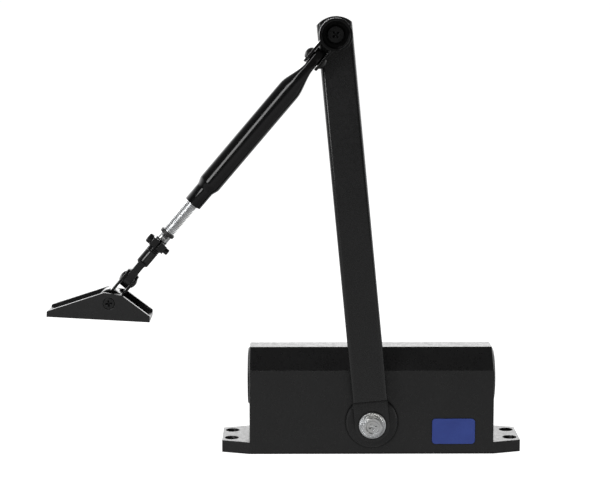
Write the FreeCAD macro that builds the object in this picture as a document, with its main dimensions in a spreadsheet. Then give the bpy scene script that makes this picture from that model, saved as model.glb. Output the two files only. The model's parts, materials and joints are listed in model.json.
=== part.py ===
"""Overhead door closer: rack-and-pinion body, main arm, adjustable forearm and foot bracket.

Row frame in millimetres: X along the body, Y from the arm side (-Y) to the back (+Y), Z up from
the mounting face. The origin is the centre of the four mounting holes on that face.
"""
import FreeCAD, Part
import math
import os

import Sketcher

V = FreeCAD.Vector
X_AXIS = V(1, 0, 0)
Y_AXIS = V(0, 1, 0)
Z_AXIS = V(0, 0, 1)

DRIVING_SIZES = {
    # casting
    "ear_span": 175.0,
    "ear_depth": 31.0,
    "ear_thick": 7.0,
    "hole_span": 164.0,
    "hole_row_gap": 18.4,
    "hole_dia": 8.4,
    "block_len": 142.6,
    "block_depth": 42.0,
    "shoulder_height": 49.6,
    "block_height": 61.0,
    "top_flat": 14.6,
    "edge_round": 0.7,
    # cylinder
    "bore_height": 42.6,
    "bore_rad": 13.5,
    "plug_thread_rad": 14.25,
    "plug_thread_len": 12.0,
    "plug_rim_rad": 16.8,
    "plug_rim": 1.15,
    # rack and pinion
    "pinion_height": 19.3,
    "tooth_module": 2.1,
    "tooth_count": 12.0,
    "gear_width": 20.0,
    "chamber_rad": 14.5,
    "journal_rad": 8.0,
    "bearing_rad": 11.0,
    "collar_rad": 15.0,
    "collar_proud": 2.5,
    "square_side": 11.0,
    # piston and spring
    "piston_rad": 13.45,
    "piston_start": -41.5,
    "piston_end": 20.0,
    "rack_start": -31.0,
    "rack_end": 11.0,
    "spring_wire_rad": 1.6,
    "spring_mean_rad": 10.6,
    "spring_turns": 6.0,
    # main arm
    "arm_len": 225.9,
    "arm_tilt": 5.6,
    "arm_width": 20.0,
    "arm_thick": 5.5,
    "arm_joggle": 6.2,
    "arm_inner_gap": 0.8,
    "step_height": 15.0,
    "step_run": 2.4,
    "arm_edge_round": 2.0,
    "arm_tip_rad": 14.0,
    "arm_shoulder": 5.9,
    # forearm, measured from the elbow along its own length
    "forearm_len": 195.4,
    "forearm_tilt": 40.41,
    "forearm_plane": 43.0,
    "tube_rad": 6.5,
    "tube_full": 40.5,
    "tongue_half": 2.9,
    "tube_taper": 108.6,
    "tube_neck": 113.0,
    "neck_rad": 5.15,
    "tube_end": 123.4,
    "rod_rad": 3.5,
    "journal_end": 163.8,
    "rod_journal": 2.6,
    "rod_start": 62.0,
    "ring_start": 144.3,
    "sleeve_start": 150.4,
    "sleeve_rad": 3.6,
    "sleeve_end": 168.6,
    "foot_tongue": 4.3,
    "knuckle_depth": 12.0,
    # elbow and foot joints
    "cup_rad": 9.3,
    "elbow_rivet_at": 17.0,
    "foot_loop_rad": 6.9,
    "foot_rivet_at": 179.8,
    # foot bracket, measured from its pivot
    "foot_tilt": 3.25,
    "foot_left": 34.4,
    "foot_right": 23.2,
    "foot_drop": 9.4,
    "foot_rise": 6.0,
    "foot_width": 23.8,
    "foot_plate": 2.2,
    # oil valves
    "valve_height": 15.0,
    "valve_side": 9.0,
    "valve_rad": 3.45,
    # clamp on the sleeve
    "clamp_len": 4.8,
    "clamp_half": 4.7,
    "screw_forward": 6.4,
    # badge
    "badge_long": 25.0,
    "badge_high": 15.0,
    "badge_along": 47.8,
    "badge_up": 13.5,
}

doc = FreeCAD.newDocument("DoorCloser")
sheet = doc.addObject("Spreadsheet::Sheet", "Sizes")
for row, (alias, number) in enumerate(DRIVING_SIZES.items(), start=1):
    sheet.set(f"A{row}", alias)
    sheet.set(f"B{row}", f"{number}")
    sheet.setAlias(f"B{row}", alias)
doc.recompute()

PARTS = []
RUNNING_FIT = 0.05


def size(alias):
    """A driving dimension, read from the sheet."""
    return float(sheet.get(alias))


def cell(formula):
    """A formula in which the words that are driving dimensions are read from the sheet."""
    words = formula.replace("(", " ( ").replace(")", " ) ").split()
    return " ".join(f"Sizes.{word}" if word in DRIVING_SIZES else word for word in words)


def bind(target, **formulas):
    """Bind properties to formulas of the driving dimensions."""
    for name, formula in formulas.items():
        target.setExpression(name, cell(formula))
    return target


def keep(part, label):
    """Name a finished sub-part and list it for writing."""
    part.Label = label
    PARTS.append(part)
    return part


def turned(axis, angle, base=V(0, 0, 0)):
    """A placement at a point, turned about an axis."""
    return FreeCAD.Placement(base, FreeCAD.Rotation(axis, angle))


def feature(label, shape, place=None):
    """A sub-part whose shape is worked out here from the sheet's sizes."""
    part = doc.addObject("Part::Feature", label)
    part.Shape = shape.removeSplitter()
    if place:
        part.Placement = place
    return keep(part, label)


def new_body(label):
    return keep(doc.addObject("PartDesign::Body", label), label)


# Sketch helpers: every corner is held to the sketch's origin by two bound distances.


def sketch_on(body, name, role, lift="0", spin=0):
    """A sketch on one of a body's own origin planes, lifted along the plane's normal."""
    sketch = body.newObject("Sketcher::SketchObject", name)
    plane = next(o for o in body.Origin.OriginFeatures if o.Role == role)
    sketch.AttachmentSupport = [(plane, "")]
    sketch.MapMode = "FlatFace"
    sketch.AttachmentOffset = turned(Z_AXIS, spin)
    sketch.setExpression(".AttachmentOffset.Base.z", cell(lift))
    doc.recompute()
    return sketch


def value_of(sketch, formula):
    """What a formula comes to, as a plain number."""
    answer = sketch.evalExpression(cell(formula))
    return float(getattr(answer, "Value", answer))


def hold(sketch, geometry, point, x, y):
    """Bind one point of a sketch element to formulas for its two coordinates."""
    for kind, formula in (("DistanceX", x), ("DistanceY", y)):
        number = value_of(sketch, formula)
        index = sketch.addConstraint(Sketcher.Constraint(kind, -1, 1, geometry, point, number))
        sketch.setExpression(f"Constraints[{index}]", cell(formula))


def polygon(sketch, corners):
    """A closed outline of straight lines through bound corners."""
    points = [V(value_of(sketch, x), value_of(sketch, y), 0) for x, y in corners]
    first = sketch.GeometryCount
    for start, end in zip(points, points[1:] + points[:1]):
        sketch.addGeometry(Part.LineSegment(start, end), False)
    count = len(points)
    for i in range(count):
        follower = first + (i + 1) % count
        sketch.addConstraint(Sketcher.Constraint("Coincident", first + i, 2, follower, 1))
    for i, (x, y) in enumerate(corners):
        hold(sketch, first + i, 1, x, y)


def circle(sketch, x, y, radius):
    """A circle with a bound centre and radius."""
    centre = V(value_of(sketch, x), value_of(sketch, y), 0)
    number = value_of(sketch, radius)
    index = sketch.addGeometry(Part.Circle(centre, Z_AXIS, number), False)
    hold(sketch, index, 3, x, y)
    bound = sketch.addConstraint(Sketcher.Constraint("Radius", index, number))
    sketch.setExpression(f"Constraints[{bound}]", cell(radius))


def rectangle(sketch, left, right, low, high):
    polygon(sketch, [(left, low), (right, low), (right, high), (left, high)])


def hexagon(sketch, radius):
    """A regular hexagon about the sketch's origin, by the radius over its corners."""
    turns = [math.radians(60 * i) for i in range(6)]
    polygon(sketch, [(f"{radius} * {math.cos(a):.6f}", f"{radius} * {math.sin(a):.6f}")
                     for a in turns])


def arched(sketch, half, low, high, radius):
    """A closed outline above an upward arch: what is cut off a bar to leave a rounded end."""
    right = V(value_of(sketch, half), value_of(sketch, low), 0)
    left = V(-right.x, right.y, 0)
    number = value_of(sketch, radius)
    centre = V(0, right.y - math.sqrt(number ** 2 - right.x ** 2), 0)
    start = math.atan2(right.y - centre.y, right.x)
    arc = Part.ArcOfCircle(Part.Circle(centre, Z_AXIS, number), start, math.pi - start)
    top = value_of(sketch, high)
    curve = sketch.addGeometry(arc, False)
    corners = [left, V(left.x, top, 0), V(right.x, top, 0), right]
    first = sketch.GeometryCount
    for begin, end in zip(corners, corners[1:]):
        sketch.addGeometry(Part.LineSegment(begin, end), False)
    for a, a_end, b, b_end in ((curve, 2, first, 1), (first, 2, first + 1, 1),
                               (first + 1, 2, first + 2, 1), (first + 2, 2, curve, 1)):
        sketch.addConstraint(Sketcher.Constraint("Coincident", a, a_end, b, b_end))
    hold(sketch, first, 1, f"- {half}", low)
    hold(sketch, first, 2, f"- {half}", high)
    hold(sketch, first + 1, 2, half, high)
    hold(sketch, first + 2, 2, half, low)
    bound = sketch.addConstraint(Sketcher.Constraint("Radius", curve, number))
    sketch.setExpression(f"Constraints[{bound}]", cell(radius))


def pad(body, sketch, name, length, both_ways=False, reverse=False):
    solid = body.newObject("PartDesign::Pad", name)
    solid.Profile = sketch
    bind(solid, Length=length)
    solid.Midplane = both_ways
    solid.Reversed = reverse
    doc.recompute()
    return solid


def pocket(body, sketch, name, length, both_ways=False, reverse=False):
    """A pocket that has to take material away, or the build stops."""
    before = body.Shape.Volume
    hole = body.newObject("PartDesign::Pocket", name)
    hole.Profile = sketch
    bind(hole, Length=length)
    hole.Midplane = both_ways
    hole.Reversed = reverse
    doc.recompute()
    if body.Shape.Volume > before - 0.01:
        raise ValueError(f"{name} cuts nothing")
    return hole


def rounded(body, name, radius, wanted):
    """A bound fillet on the straight edges whose middle and direction answer a test."""
    names = []
    for number, edge in enumerate(body.Shape.Edges, start=1):
        if isinstance(edge.Curve, Part.Line):
            middle = edge.valueAt((edge.FirstParameter + edge.LastParameter) / 2)
            if wanted(middle, edge.Curve.Direction):
                names.append(f"Edge{number}")
    base = body.Tip
    fillet = body.newObject("PartDesign::Fillet", name)
    fillet.Base = (base, names)
    bind(fillet, Radius=radius)
    doc.recompute()
    return fillet


def near(a, b, slack=0.05):
    return abs(a - b) < slack


# Turned parts are made along their own Z, with the head or the outer face towards +Z


def turned_part(label, outline, place):
    """A part turned about its own Z, from bound (radius, height) corners."""
    body = new_body(label)
    profile = sketch_on(body, f"{label}_profile", "XZ_Plane")
    polygon(profile, outline)
    turning = body.newObject("PartDesign::Revolution", f"{label}_turning")
    turning.Profile = profile
    turning.ReferenceAxis = (profile, ["V_Axis"])
    turning.Angle = 360
    doc.recompute()
    body.Placement = place
    return body


def plain_ring(label, inner, outer, length, place):
    """A ring of a square section, from its own origin along its own Z."""
    outline = [(inner, "0"), (outer, "0"), (outer, length), (inner, length)]
    return turned_part(label, outline, place)


def driver_slot(body, top, long, wide, deep, spin=0):
    """A straight driver slot sunk from the top of a turned part."""
    name = f"{body.Name}_slot_{spin}"
    slot = sketch_on(body, name, "XY_Plane", top, spin)
    rectangle(slot, f"- {long} / 2", f"{long} / 2", f"- {wide} / 2", f"{wide} / 2")
    pocket(body, slot, f"{name}_cut", deep)


def cross_recess(body, top, across, deep, spin):
    """A cross-shaped driver recess: two crossing slots."""
    for quarter in (0, 90):
        driver_slot(body, top, across, f"{across} * 0.26", deep, spin + quarter)


def ring_seal(label, centre, rotation, radius, wire):
    """A rubber O-ring."""
    ring = bind(doc.addObject("Part::Torus", label), Radius1=radius, Radius2=wire)
    ring.Placement = FreeCAD.Placement(centre, rotation)
    return keep(ring, label)


FACING_LEFT = FreeCAD.Rotation(Y_AXIS, -90)
FACING_RIGHT = FreeCAD.Rotation(Y_AXIS, 90)
FACING_FRONT = FreeCAD.Rotation(X_AXIS, 90)
FACING_REAR = FreeCAD.Rotation(X_AXIS, -90)


def facing(rotation, x=0.0, y=0.0, z=0.0):
    """A placement at a point, with its own Z turned to one of the four sides."""
    return FreeCAD.Placement(V(x, y, z), rotation)


# The body of the closer


def body_casting():
    """The cast housing: mounting ears, block with sloped shoulders, cylinder and pinion bores."""
    body = new_body("body_casting")
    base = sketch_on(body, "EarOutline", "XY_Plane")
    polygon(base, [
        ("- ear_span / 2", "- ear_depth / 2"),
        ("- block_len / 2", "- block_depth / 2"),
        ("block_len / 2", "- block_depth / 2"),
        ("ear_span / 2", "- ear_depth / 2"),
        ("ear_span / 2", "ear_depth / 2"),
        ("block_len / 2", "block_depth / 2"),
        ("- block_len / 2", "block_depth / 2"),
        ("- ear_span / 2", "ear_depth / 2"),
    ])
    pad(body, base, "Ears", "ear_thick")
    section = sketch_on(body, "BlockSection", "YZ_Plane")
    polygon(section, [
        ("- block_depth / 2", "0"),
        ("block_depth / 2", "0"),
        ("block_depth / 2", "shoulder_height"),
        ("top_flat / 2", "block_height"),
        ("- top_flat / 2", "block_height"),
        ("- block_depth / 2", "shoulder_height"),
    ])
    pad(body, section, "Block", "block_len", both_ways=True)
    half_depth = size("block_depth") / 2
    half_len = size("block_len") / 2
    rounded(body, "BlockEdges", "edge_round", lambda m, d: (
        (near(abs(d.z), 1) and near(abs(m.y), half_depth) and m.z > size("ear_thick"))
        or (near(abs(d.x), 1) and near(m.z, size("block_height")))
        or (near(abs(m.x), half_len) and near(d.x, 0) and m.z > size("shoulder_height"))
    ))

    bore = sketch_on(body, "CylinderBore", "YZ_Plane")
    circle(bore, "0", "bore_height", "bore_rad")
    pocket(body, bore, "Cylinder", "block_len + 2", both_ways=True)
    for side, name in ((-1, "Left"), (1, "Right")):
        mouth = sketch_on(body, f"{name}Mouth", "YZ_Plane", f"{side} * block_len / 2")
        circle(mouth, "0", "bore_height", "plug_thread_rad")
        pocket(body, mouth, f"{name}Thread", "plug_thread_len", reverse=side < 0)
    chamber = sketch_on(body, "PinionMouth", "XZ_Plane", "block_depth / 2")
    circle(chamber, "0", "pinion_height", "chamber_rad")
    pocket(body, chamber, "PinionChamber", "block_depth / 2 + gear_width / 2 + 0.5")
    rear = sketch_on(body, "RearMouth", "XZ_Plane", "- block_depth / 2")
    circle(rear, "0", "pinion_height", "bearing_rad")
    pocket(body, rear, "RearSeat", "block_depth / 2 - gear_width / 2", reverse=True)

    holes = sketch_on(body, "EarHoles", "XY_Plane")
    for x in ("- hole_span / 2", "hole_span / 2"):
        for y in ("- hole_row_gap / 2", "hole_row_gap / 2"):
            circle(holes, x, y, "hole_dia / 2")
    pocket(body, holes, "MountingHoles", "ear_thick + 1", reverse=True)
    valves = sketch_on(body, "ValveHoles", "YZ_Plane", "- block_len / 2")
    ports = sketch_on(body, "PortHoles", "XY_Plane", "valve_height")
    for across in ("- valve_side", "valve_side"):
        circle(valves, across, "valve_height", "valve_rad + 0.05")
        circle(ports, "- block_len / 2 + 22", across, "1")
    pocket(body, valves, "ValveBores", "26", reverse=True)
    pocket(body, ports, "OilPorts", "bore_height - bore_rad - valve_height + 5", reverse=True)
    return body


def end_plug(label, side):
    """A threaded plug that closes one end of the cylinder, with two spanner holes in its rim."""
    outline = [
        ("0", "plug_rim"),
        ("plug_rim_rad - 0.7", "plug_rim"),
        ("plug_rim_rad", "plug_rim - 0.7"),
        ("plug_rim_rad", "0"),
        ("plug_thread_rad", "0"),
        ("plug_thread_rad", "-2.4"),
        ("plug_thread_rad - 1.6", "-2.4"),
        ("plug_thread_rad - 1.6", "-4.4"),
        ("plug_thread_rad", "-4.4"),
        ("plug_thread_rad", "- plug_thread_len"),
        ("plug_thread_rad - 1.6", "- plug_thread_len"),
        ("plug_thread_rad - 1.6", "- plug_thread_len + 5"),
        ("0", "- plug_thread_len + 5"),
    ]
    rotation = FACING_RIGHT if side > 0 else FACING_LEFT
    place = facing(rotation, x=side * size("block_len") / 2, z=size("bore_height"))
    body = turned_part(label, outline, place)
    holes = sketch_on(body, f"{label}_spanner_holes", "XY_Plane", "plug_rim")
    circle(holes, "0", "-9", "1.9")
    circle(holes, "0", "9", "1.9")
    pocket(body, holes, f"{label}_spanner_bores", "3")
    return body


def front_collar():
    """The screwed-in ring round the pinion on the front face, with the bearing seat inside."""
    outline = [
        ("journal_rad + 0.4", "collar_proud"),
        ("collar_rad - 0.8", "collar_proud"),
        ("collar_rad", "collar_proud - 0.8"),
        ("collar_rad", "0"),
        ("chamber_rad", "0"),
        ("chamber_rad", "-9.5"),
        ("bearing_rad", "-9.5"),
        ("bearing_rad", "collar_proud - 1"),
        ("journal_rad + 0.4", "collar_proud - 1"),
    ]
    place = facing(FACING_FRONT, y=-size("block_depth") / 2, z=size("pinion_height"))
    return turned_part("front_collar", outline, place)


def rear_cap():
    """The slotted cap over the unused rear end of the pinion, with a groove for its seal."""
    outline = [
        ("0", "1.8"), ("bearing_rad + 1.2", "1.8"), ("bearing_rad + 2", "1"), ("bearing_rad + 2", "0"),
        ("bearing_rad", "0"), ("bearing_rad", "-0.5"), ("bearing_rad - 1.4", "-0.5"),
        ("bearing_rad - 1.4", "-2"), ("bearing_rad", "-2"), ("bearing_rad", "-2.5"), ("0", "-2.5"),
    ]
    place = facing(FACING_REAR, y=size("block_depth") / 2, z=size("pinion_height"))
    body = turned_part("rear_cap", outline, place)
    driver_slot(body, "1.8", "14", "2.4", "1")
    return body


def valve_screw(label, side):
    """A slotted needle screw that throttles the oil, sunk in the left end face, and its seal."""
    outline = [
        ("0", "0"), ("valve_rad - 0.45", "0"), ("valve_rad", "-0.45"), ("valve_rad", "-8"),
        ("2.4", "-8"), ("2.4", "-10.4"), ("valve_rad", "-10.4"), ("valve_rad", "-16"), ("0", "-24"),
    ]
    sunk = 0.8
    start = V(sunk - size("block_len") / 2, side * size("valve_side"), size("valve_height"))
    body = turned_part(label, outline, FreeCAD.Placement(start, FACING_LEFT))
    driver_slot(body, "0", "8", "1", "1.2")
    groove = start + V(9.2, 0, 0)
    ring_seal(label.replace("screw", "seal"), groove, FACING_LEFT, "valve_rad - 0.5", "0.5")


# The rack and pinion


def involute_gear(module, teeth, width, addendum, dedendum, thinning):
    """A spur gear about Z with involute flanks and one tooth centred on +X."""
    pitch = module * teeth / 2
    pressure = math.radians(20)
    base = pitch * math.cos(pressure)
    tip = pitch + addendum
    root = pitch - dedendum
    half_at_pitch = math.pi / (2 * teeth) - thinning / pitch
    flank_turn = half_at_pitch + math.tan(pressure) - pressure

    def flank(radius, side):
        roll = math.sqrt(max((radius / base) ** 2 - 1, 0))
        angle = side * (flank_turn - (roll - math.atan(roll)))
        return V(radius * math.cos(angle), radius * math.sin(angle), 0)

    steps = [base + (tip - base) * i / 4 for i in range(5)]
    edges = []
    gap = 2 * math.pi / teeth
    for number in range(teeth):
        spin = FreeCAD.Rotation(Z_AXIS, math.degrees(number * gap))
        low = [spin.multVec(flank(radius, -1)) for radius in steps]
        high = [spin.multVec(flank(radius, 1)) for radius in reversed(steps)]
        middle = spin.multVec(V(tip, 0, 0))
        start = low[0] * (root / base)
        end = high[-1] * (root / base)
        edges.append(Part.makeLine(start, low[0]))
        edges.append(Part.BSplineCurve(low, None, None, False, 3).toShape())
        edges.append(Part.Arc(low[-1], middle, high[0]).toShape())
        edges.append(Part.BSplineCurve(high, None, None, False, 3).toShape())
        edges.append(Part.makeLine(high[-1], end))
        half_gap = FreeCAD.Rotation(Z_AXIS, math.degrees(gap / 2))
        valley = half_gap.multVec(spin.multVec(V(root, 0, 0)))
        next_start = FreeCAD.Rotation(Z_AXIS, math.degrees(gap)).multVec(start)
        edges.append(Part.Arc(end, valley, next_start).toShape())
    return Part.Face(Part.Wire(edges)).extrude(V(0, 0, width))


RACK_ADDENDUM = 1.3
PINION_ADDENDUM = 1.5
ROOT_ROOM = 0.35
TOOTH_THINNING = 0.06


def pinion_shaft():
    """The pinion, its two journals and the square end that drives the arm."""
    width = size("gear_width")
    gear = involute_gear(size("tooth_module"), int(size("tooth_count")), width,
                         PINION_ADDENDUM, RACK_ADDENDUM + ROOT_ROOM, TOOTH_THINNING)
    gear.rotate(V(0, 0, 0), Z_AXIS, -90)
    gear.translate(V(0, 0, -width / 2))
    journal = size("journal_rad")
    rear_len = 8.2
    front = size("block_depth") / 2 + size("collar_proud") + 0.2
    shaft = Part.makeCylinder(journal, rear_len + width / 2, V(0, 0, -rear_len - width / 2))
    shaft = shaft.fuse(Part.makeCylinder(journal, front, V(0, 0, 0)))
    side = size("square_side")
    square_len = size("arm_inner_gap") + size("arm_thick") - 0.6
    square = Part.makeBox(side, side, square_len, V(-side / 2, -side / 2, front))
    square.rotate(V(0, 0, 0), Z_AXIS, size("arm_tilt"))
    corner_round = Part.makeCylinder(side * 0.66, square_len, V(0, 0, front))
    shaft = shaft.fuse([gear, square.common(corner_round)])
    tapped_len = 16
    tapped = Part.makeCylinder(3, tapped_len, V(0, 0, front + square_len - tapped_len))
    place = FreeCAD.Placement(V(0, 0, size("pinion_height")), FACING_FRONT)
    return feature("pinion_shaft", shaft.cut(tapped), place)


def rack_gap():
    """Corners of what is milled out below the piston to leave the rack: one loop of five teeth."""
    pitch = "( 3.14159 * tooth_module )"
    pitch_line = "pinion_height + tooth_module * tooth_count / 2"
    slope = math.tan(math.radians(20))
    floor = "0"
    root = f"{pitch_line} + {PINION_ADDENDUM + ROOT_ROOM}"
    tip = f"{pitch_line} - {RACK_ADDENDUM}"
    wide = f"{pitch} / 4 + {(PINION_ADDENDUM + ROOT_ROOM) * slope - TOOTH_THINNING:.4f}"
    thin = f"{pitch} / 4 - {RACK_ADDENDUM * slope + TOOTH_THINNING:.4f}"
    corners = [("rack_start", floor), ("rack_start", root)]
    for tooth in range(-4, 1):
        middle = f"{tooth + 0.5} * {pitch}"
        corners += [(f"{middle} - ( {wide} )", root), (f"{middle} - ( {thin} )", tip),
                    (f"{middle} + {thin}", tip), (f"{middle} + {wide}", root)]
    return corners + [("rack_end", root), ("rack_end", floor)]


def piston():
    """The piston: two heads joined by a flat-bottomed waist that carries the rack."""
    body = new_body("piston")
    bar = sketch_on(body, "PistonBar", "YZ_Plane", "piston_start")
    circle(bar, "0", "bore_height", "piston_rad")
    pad(body, bar, "Bar", "piston_end - piston_start")
    rack = sketch_on(body, "RackGap", "XZ_Plane")
    polygon(rack, rack_gap())
    pocket(body, rack, "Rack", "4 * piston_rad", both_ways=True)
    groove = sketch_on(body, "RingGroove", "YZ_Plane", "piston_start + 3.5")
    circle(groove, "0", "bore_height", "piston_rad + 1")
    circle(groove, "0", "bore_height", "piston_rad - 1.5")
    pocket(body, groove, "Groove", "2.2", reverse=True)
    seat = sketch_on(body, "SpringSeat", "YZ_Plane", "piston_end")
    circle(seat, "0", "bore_height", "12.4")
    pocket(body, seat, "Seat", "2.5")
    for name, radius, deep in (("ValveSeat", "2.6", "6.5"), ("OilWay", "1.1", "12")):
        hole = sketch_on(body, f"{name}Circle", "YZ_Plane", "piston_start")
        circle(hole, "0", "bore_height", radius)
        pocket(body, hole, name, deep, reverse=True)
    return body


def piston_fittings():
    """The piston ring and the one-way valve in the left head."""
    start = size("piston_start")
    height = size("bore_height")
    plain_ring("piston_ring", "piston_rad - 1.45", "piston_rad", "2",
               facing(FACING_RIGHT, x=start + 3.6, z=height))
    ball = bind(doc.addObject("Part::Sphere", "check_ball"), Radius="1.9")
    ball.Placement.Base = V(start + 4.9, 0, height)
    keep(ball, "check_ball")
    plain_ring("check_ball_retainer", "1.2", "2.58", "1.2",
               facing(FACING_RIGHT, x=start + 0.1, z=height))


def main_spring():
    """The closing spring between the piston and the right-hand plug."""
    wire = size("spring_wire_rad")
    start = size("piston_end") - 2.5 + wire + 0.1
    plug_floor = size("block_len") / 2 - size("plug_thread_len")
    length = plug_floor + 5 - wire - 0.1 - start
    turns = size("spring_turns")
    mean = size("spring_mean_rad")
    helix = Part.makeHelix(length / turns, length, mean)
    ring = Part.Wire(Part.makeCircle(wire, V(mean, 0, 0), Y_AXIS))
    coil = Part.Wire(helix).makePipeShell([ring], True, True)
    return feature("main_spring", coil, facing(FACING_RIGHT, x=start, z=size("bore_height")))


# The main arm


def arm_frame():
    """The main arm's own frame: its Z runs from the pinion to the elbow."""
    return turned(Y_AXIS, -size("arm_tilt"), V(0, 0, size("pinion_height")))


def main_arm():
    """The flat bar from the pinion to the elbow, stepped forward just above the pinion."""
    body = new_body("main_arm")
    inner = "block_depth / 2 + collar_proud + arm_inner_gap"
    outer = f"{inner} + arm_thick"
    side = sketch_on(body, "ArmSide", "YZ_Plane")
    polygon(side, [
        (f"- ( {inner} )", "- arm_width / 2"),
        (f"- ( {inner} )", "step_height"),
        (f"- ( {inner} + arm_joggle )", "step_height + step_run"),
        (f"- ( {inner} + arm_joggle )", "arm_len + arm_width"),
        (f"- ( {outer} + arm_joggle )", "arm_len + arm_width"),
        (f"- ( {outer} + arm_joggle )", "step_height + 0.6"),
        (f"- ( {outer} )", "step_height - 1.2"),
        (f"- ( {outer} )", "- arm_width / 2"),
    ])
    pad(body, side, "Bar", "arm_width", both_ways=True)
    front = -(size("block_depth") / 2 + size("collar_proud") + size("arm_inner_gap")
              + size("arm_thick") + size("arm_joggle"))
    rounded(body, "RoundedHeel", "arm_width / 2 - 0.05",
            lambda m, d: near(abs(d.y), 1) and near(m.z, -size("arm_width") / 2))
    tip = sketch_on(body, "ArmTip", "XZ_Plane")
    arched(tip, "arm_width / 2", "arm_len + arm_shoulder", "arm_len + arm_width + 1",
           "arm_tip_rad")
    pocket(body, tip, "ArchedTip", "block_depth * 3", both_ways=True)
    rounded(body, "SoftEdges", "arm_edge_round",
            lambda m, d: near(abs(d.z), 1) and near(m.y, front) and near(abs(m.x), 10))
    square = sketch_on(body, "SquareHole", "XZ_Plane")
    half = "( square_side / 2 + 0.02 )"
    polygon(square, [(f"- {half}", f"- {half}"), (half, f"- {half}"), (half, half),
                     (f"- {half}", half)])
    pocket(body, square, "PinionSquare", "block_depth * 2", both_ways=True)
    stud = sketch_on(body, "StudHole", "XZ_Plane")
    circle(stud, "0", "arm_len", "4.02")
    pocket(body, stud, "ElbowHole", "block_depth * 3", both_ways=True)
    body.Placement = arm_frame()
    return body


def arm_fastening():
    """The washer and the hexagon screw that hold the arm on the pinion."""
    height = size("pinion_height")
    face = -(size("block_depth") / 2 + size("collar_proud") + size("arm_inner_gap")
             + size("arm_thick"))
    washer_thick = 1.3
    washer = [("3.2", "0"), ("7.7", "0"), ("7.7", "0.9"), ("7.3", f"{washer_thick}"),
              ("3.2", f"{washer_thick}")]
    turned_part("arm_washer", washer, facing(FACING_FRONT, y=face, z=height))
    head = [("0", "-15.5"), ("2.98", "-15.5"), ("2.98", "0"), ("6.2", "0"), ("6.2", "3.1"),
            ("5.1", "4"), ("4", "4"), ("3.4", "3.2"), ("0", "3.2")]
    screw = turned_part("arm_screw", head, facing(FACING_FRONT, y=face - washer_thick, z=height))
    flats = sketch_on(screw, "HeadFlats", "XY_Plane", "4")
    circle(flats, "0", "0", "8")
    hexagon(flats, "5.77")
    pocket(screw, flats, "HexagonHead", "4")
    cross_recess(screw, "3.2", "4.6", "2.1", 20)


# The elbow, the forearm and the foot share frames that are built from these


def elbow_point():
    lean = math.radians(size("arm_tilt"))
    return V(-size("arm_len") * math.sin(lean), 0,
             size("pinion_height") + size("arm_len") * math.cos(lean))


def forearm_frame():
    """The forearm's own frame: origin at the elbow, Y at the forearm's plane, -Z to the foot."""
    base = elbow_point() + V(0, -size("forearm_plane"), 0)
    return turned(Y_AXIS, size("forearm_tilt"), base)


def foot_frame():
    """The foot bracket's frame: origin at its pivot, Z square to its base."""
    pivot = forearm_frame().multVec(V(0, 0, -size("forearm_len")))
    return turned(Y_AXIS, size("foot_tilt"), pivot)


def elbow_stud():
    """The shouldered pin riveted into the arm's end, its head inside the knuckle, and a washer."""
    back = -(size("block_depth") / 2 + size("collar_proud") + size("arm_inner_gap")
             + size("arm_joggle"))
    centre = elbow_point()
    outline = [("0", "-1.4"), ("5.4", "-1.4"), ("6", "-0.8"), ("6", "0"), ("4", "0"), ("4", "8.8"),
               ("5", "8.8"), ("5", "11"), ("4.4", "11.6"), ("0", "11.6")]
    stud = turned_part("elbow_stud", outline, facing(FACING_FRONT, centre.x, back, centre.z))
    cross_recess(stud, "11.6", "4.4", "1.8", 40)
    plain_ring("elbow_washer", "4.05", "7.5", "0.9",
               facing(FACING_FRONT, centre.x, back - size("arm_thick") - 0.04, centre.z))


def knuckle(label, loop, gap, plate, rivet_reach, rivet_hole, place, upward):
    """A round loop with two parallel ears that hold a riveted tongue between them."""
    body = new_body(label)
    sign = "" if upward else "- "
    ring = sketch_on(body, f"{label}_ring", "XZ_Plane")
    circle(ring, "0", "0", loop)
    pad(body, ring, f"{label}_boss", "knuckle_depth", both_ways=True)
    reach = f"{sign}( {rivet_reach} + 5.4 )"
    for side, name in (("- ", "near"), ("", "far")):
        ear = sketch_on(body, f"{label}_{name}_ear", "XZ_Plane")
        inner = f"{side}{gap} / 2"
        outer = f"{side}( {gap} / 2 + {plate} )"
        polygon(ear, [(inner, "0"), (outer, "0"), (outer, reach), (inner, reach)])
        pad(body, ear, f"{label}_{name}_plate", "knuckle_depth", both_ways=True)
    tip = abs(value_of(ring, reach))
    rounded(body, f"{label}_ends", "3.5",
            lambda m, d: near(abs(m.z), tip) and near(abs(d.x), 1))
    hole = sketch_on(body, f"{label}_rivet_hole", "YZ_Plane")
    circle(hole, "0", f"{sign}{rivet_reach}", rivet_hole)
    pocket(body, hole, f"{label}_rivet_bore", "30", both_ways=True)
    body.Placement = place
    return body


def elbow_knuckle():
    """The cup that turns on the elbow stud, with ears for the forearm's tongue."""
    body = knuckle("elbow_knuckle", "cup_rad", "( 2 * tongue_half + 0.4 )", "1.6",
                   "elbow_rivet_at", "2.55", forearm_frame(), upward=False)
    inside = sketch_on(body, "CupInside", "XZ_Plane", "knuckle_depth / 2")
    circle(inside, "0", "0", "cup_rad - 1.6")
    pocket(body, inside, "Cup", "knuckle_depth - 2.2")
    floor = sketch_on(body, "CupFloor", "XZ_Plane")
    circle(floor, "0", "0", "4.06")
    pocket(body, floor, "StudBore", "knuckle_depth + 1", both_ways=True)
    return body


def foot_knuckle():
    """The loop that turns on the foot bracket's pin, with ears for the sleeve's tongue."""
    place = forearm_frame().multiply(turned(Y_AXIS, 0, V(0, 0, -size("forearm_len"))))
    body = knuckle("foot_knuckle", "foot_loop_rad", "( foot_tongue + 0.3 )", "1.5",
                   "( forearm_len - foot_rivet_at )", "2.05", place, upward=True)
    eye = sketch_on(body, "LoopEye", "XZ_Plane")
    circle(eye, "0", "0", "4.8")
    pocket(body, eye, "Eye", "knuckle_depth + 1", both_ways=True)
    return body


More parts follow.
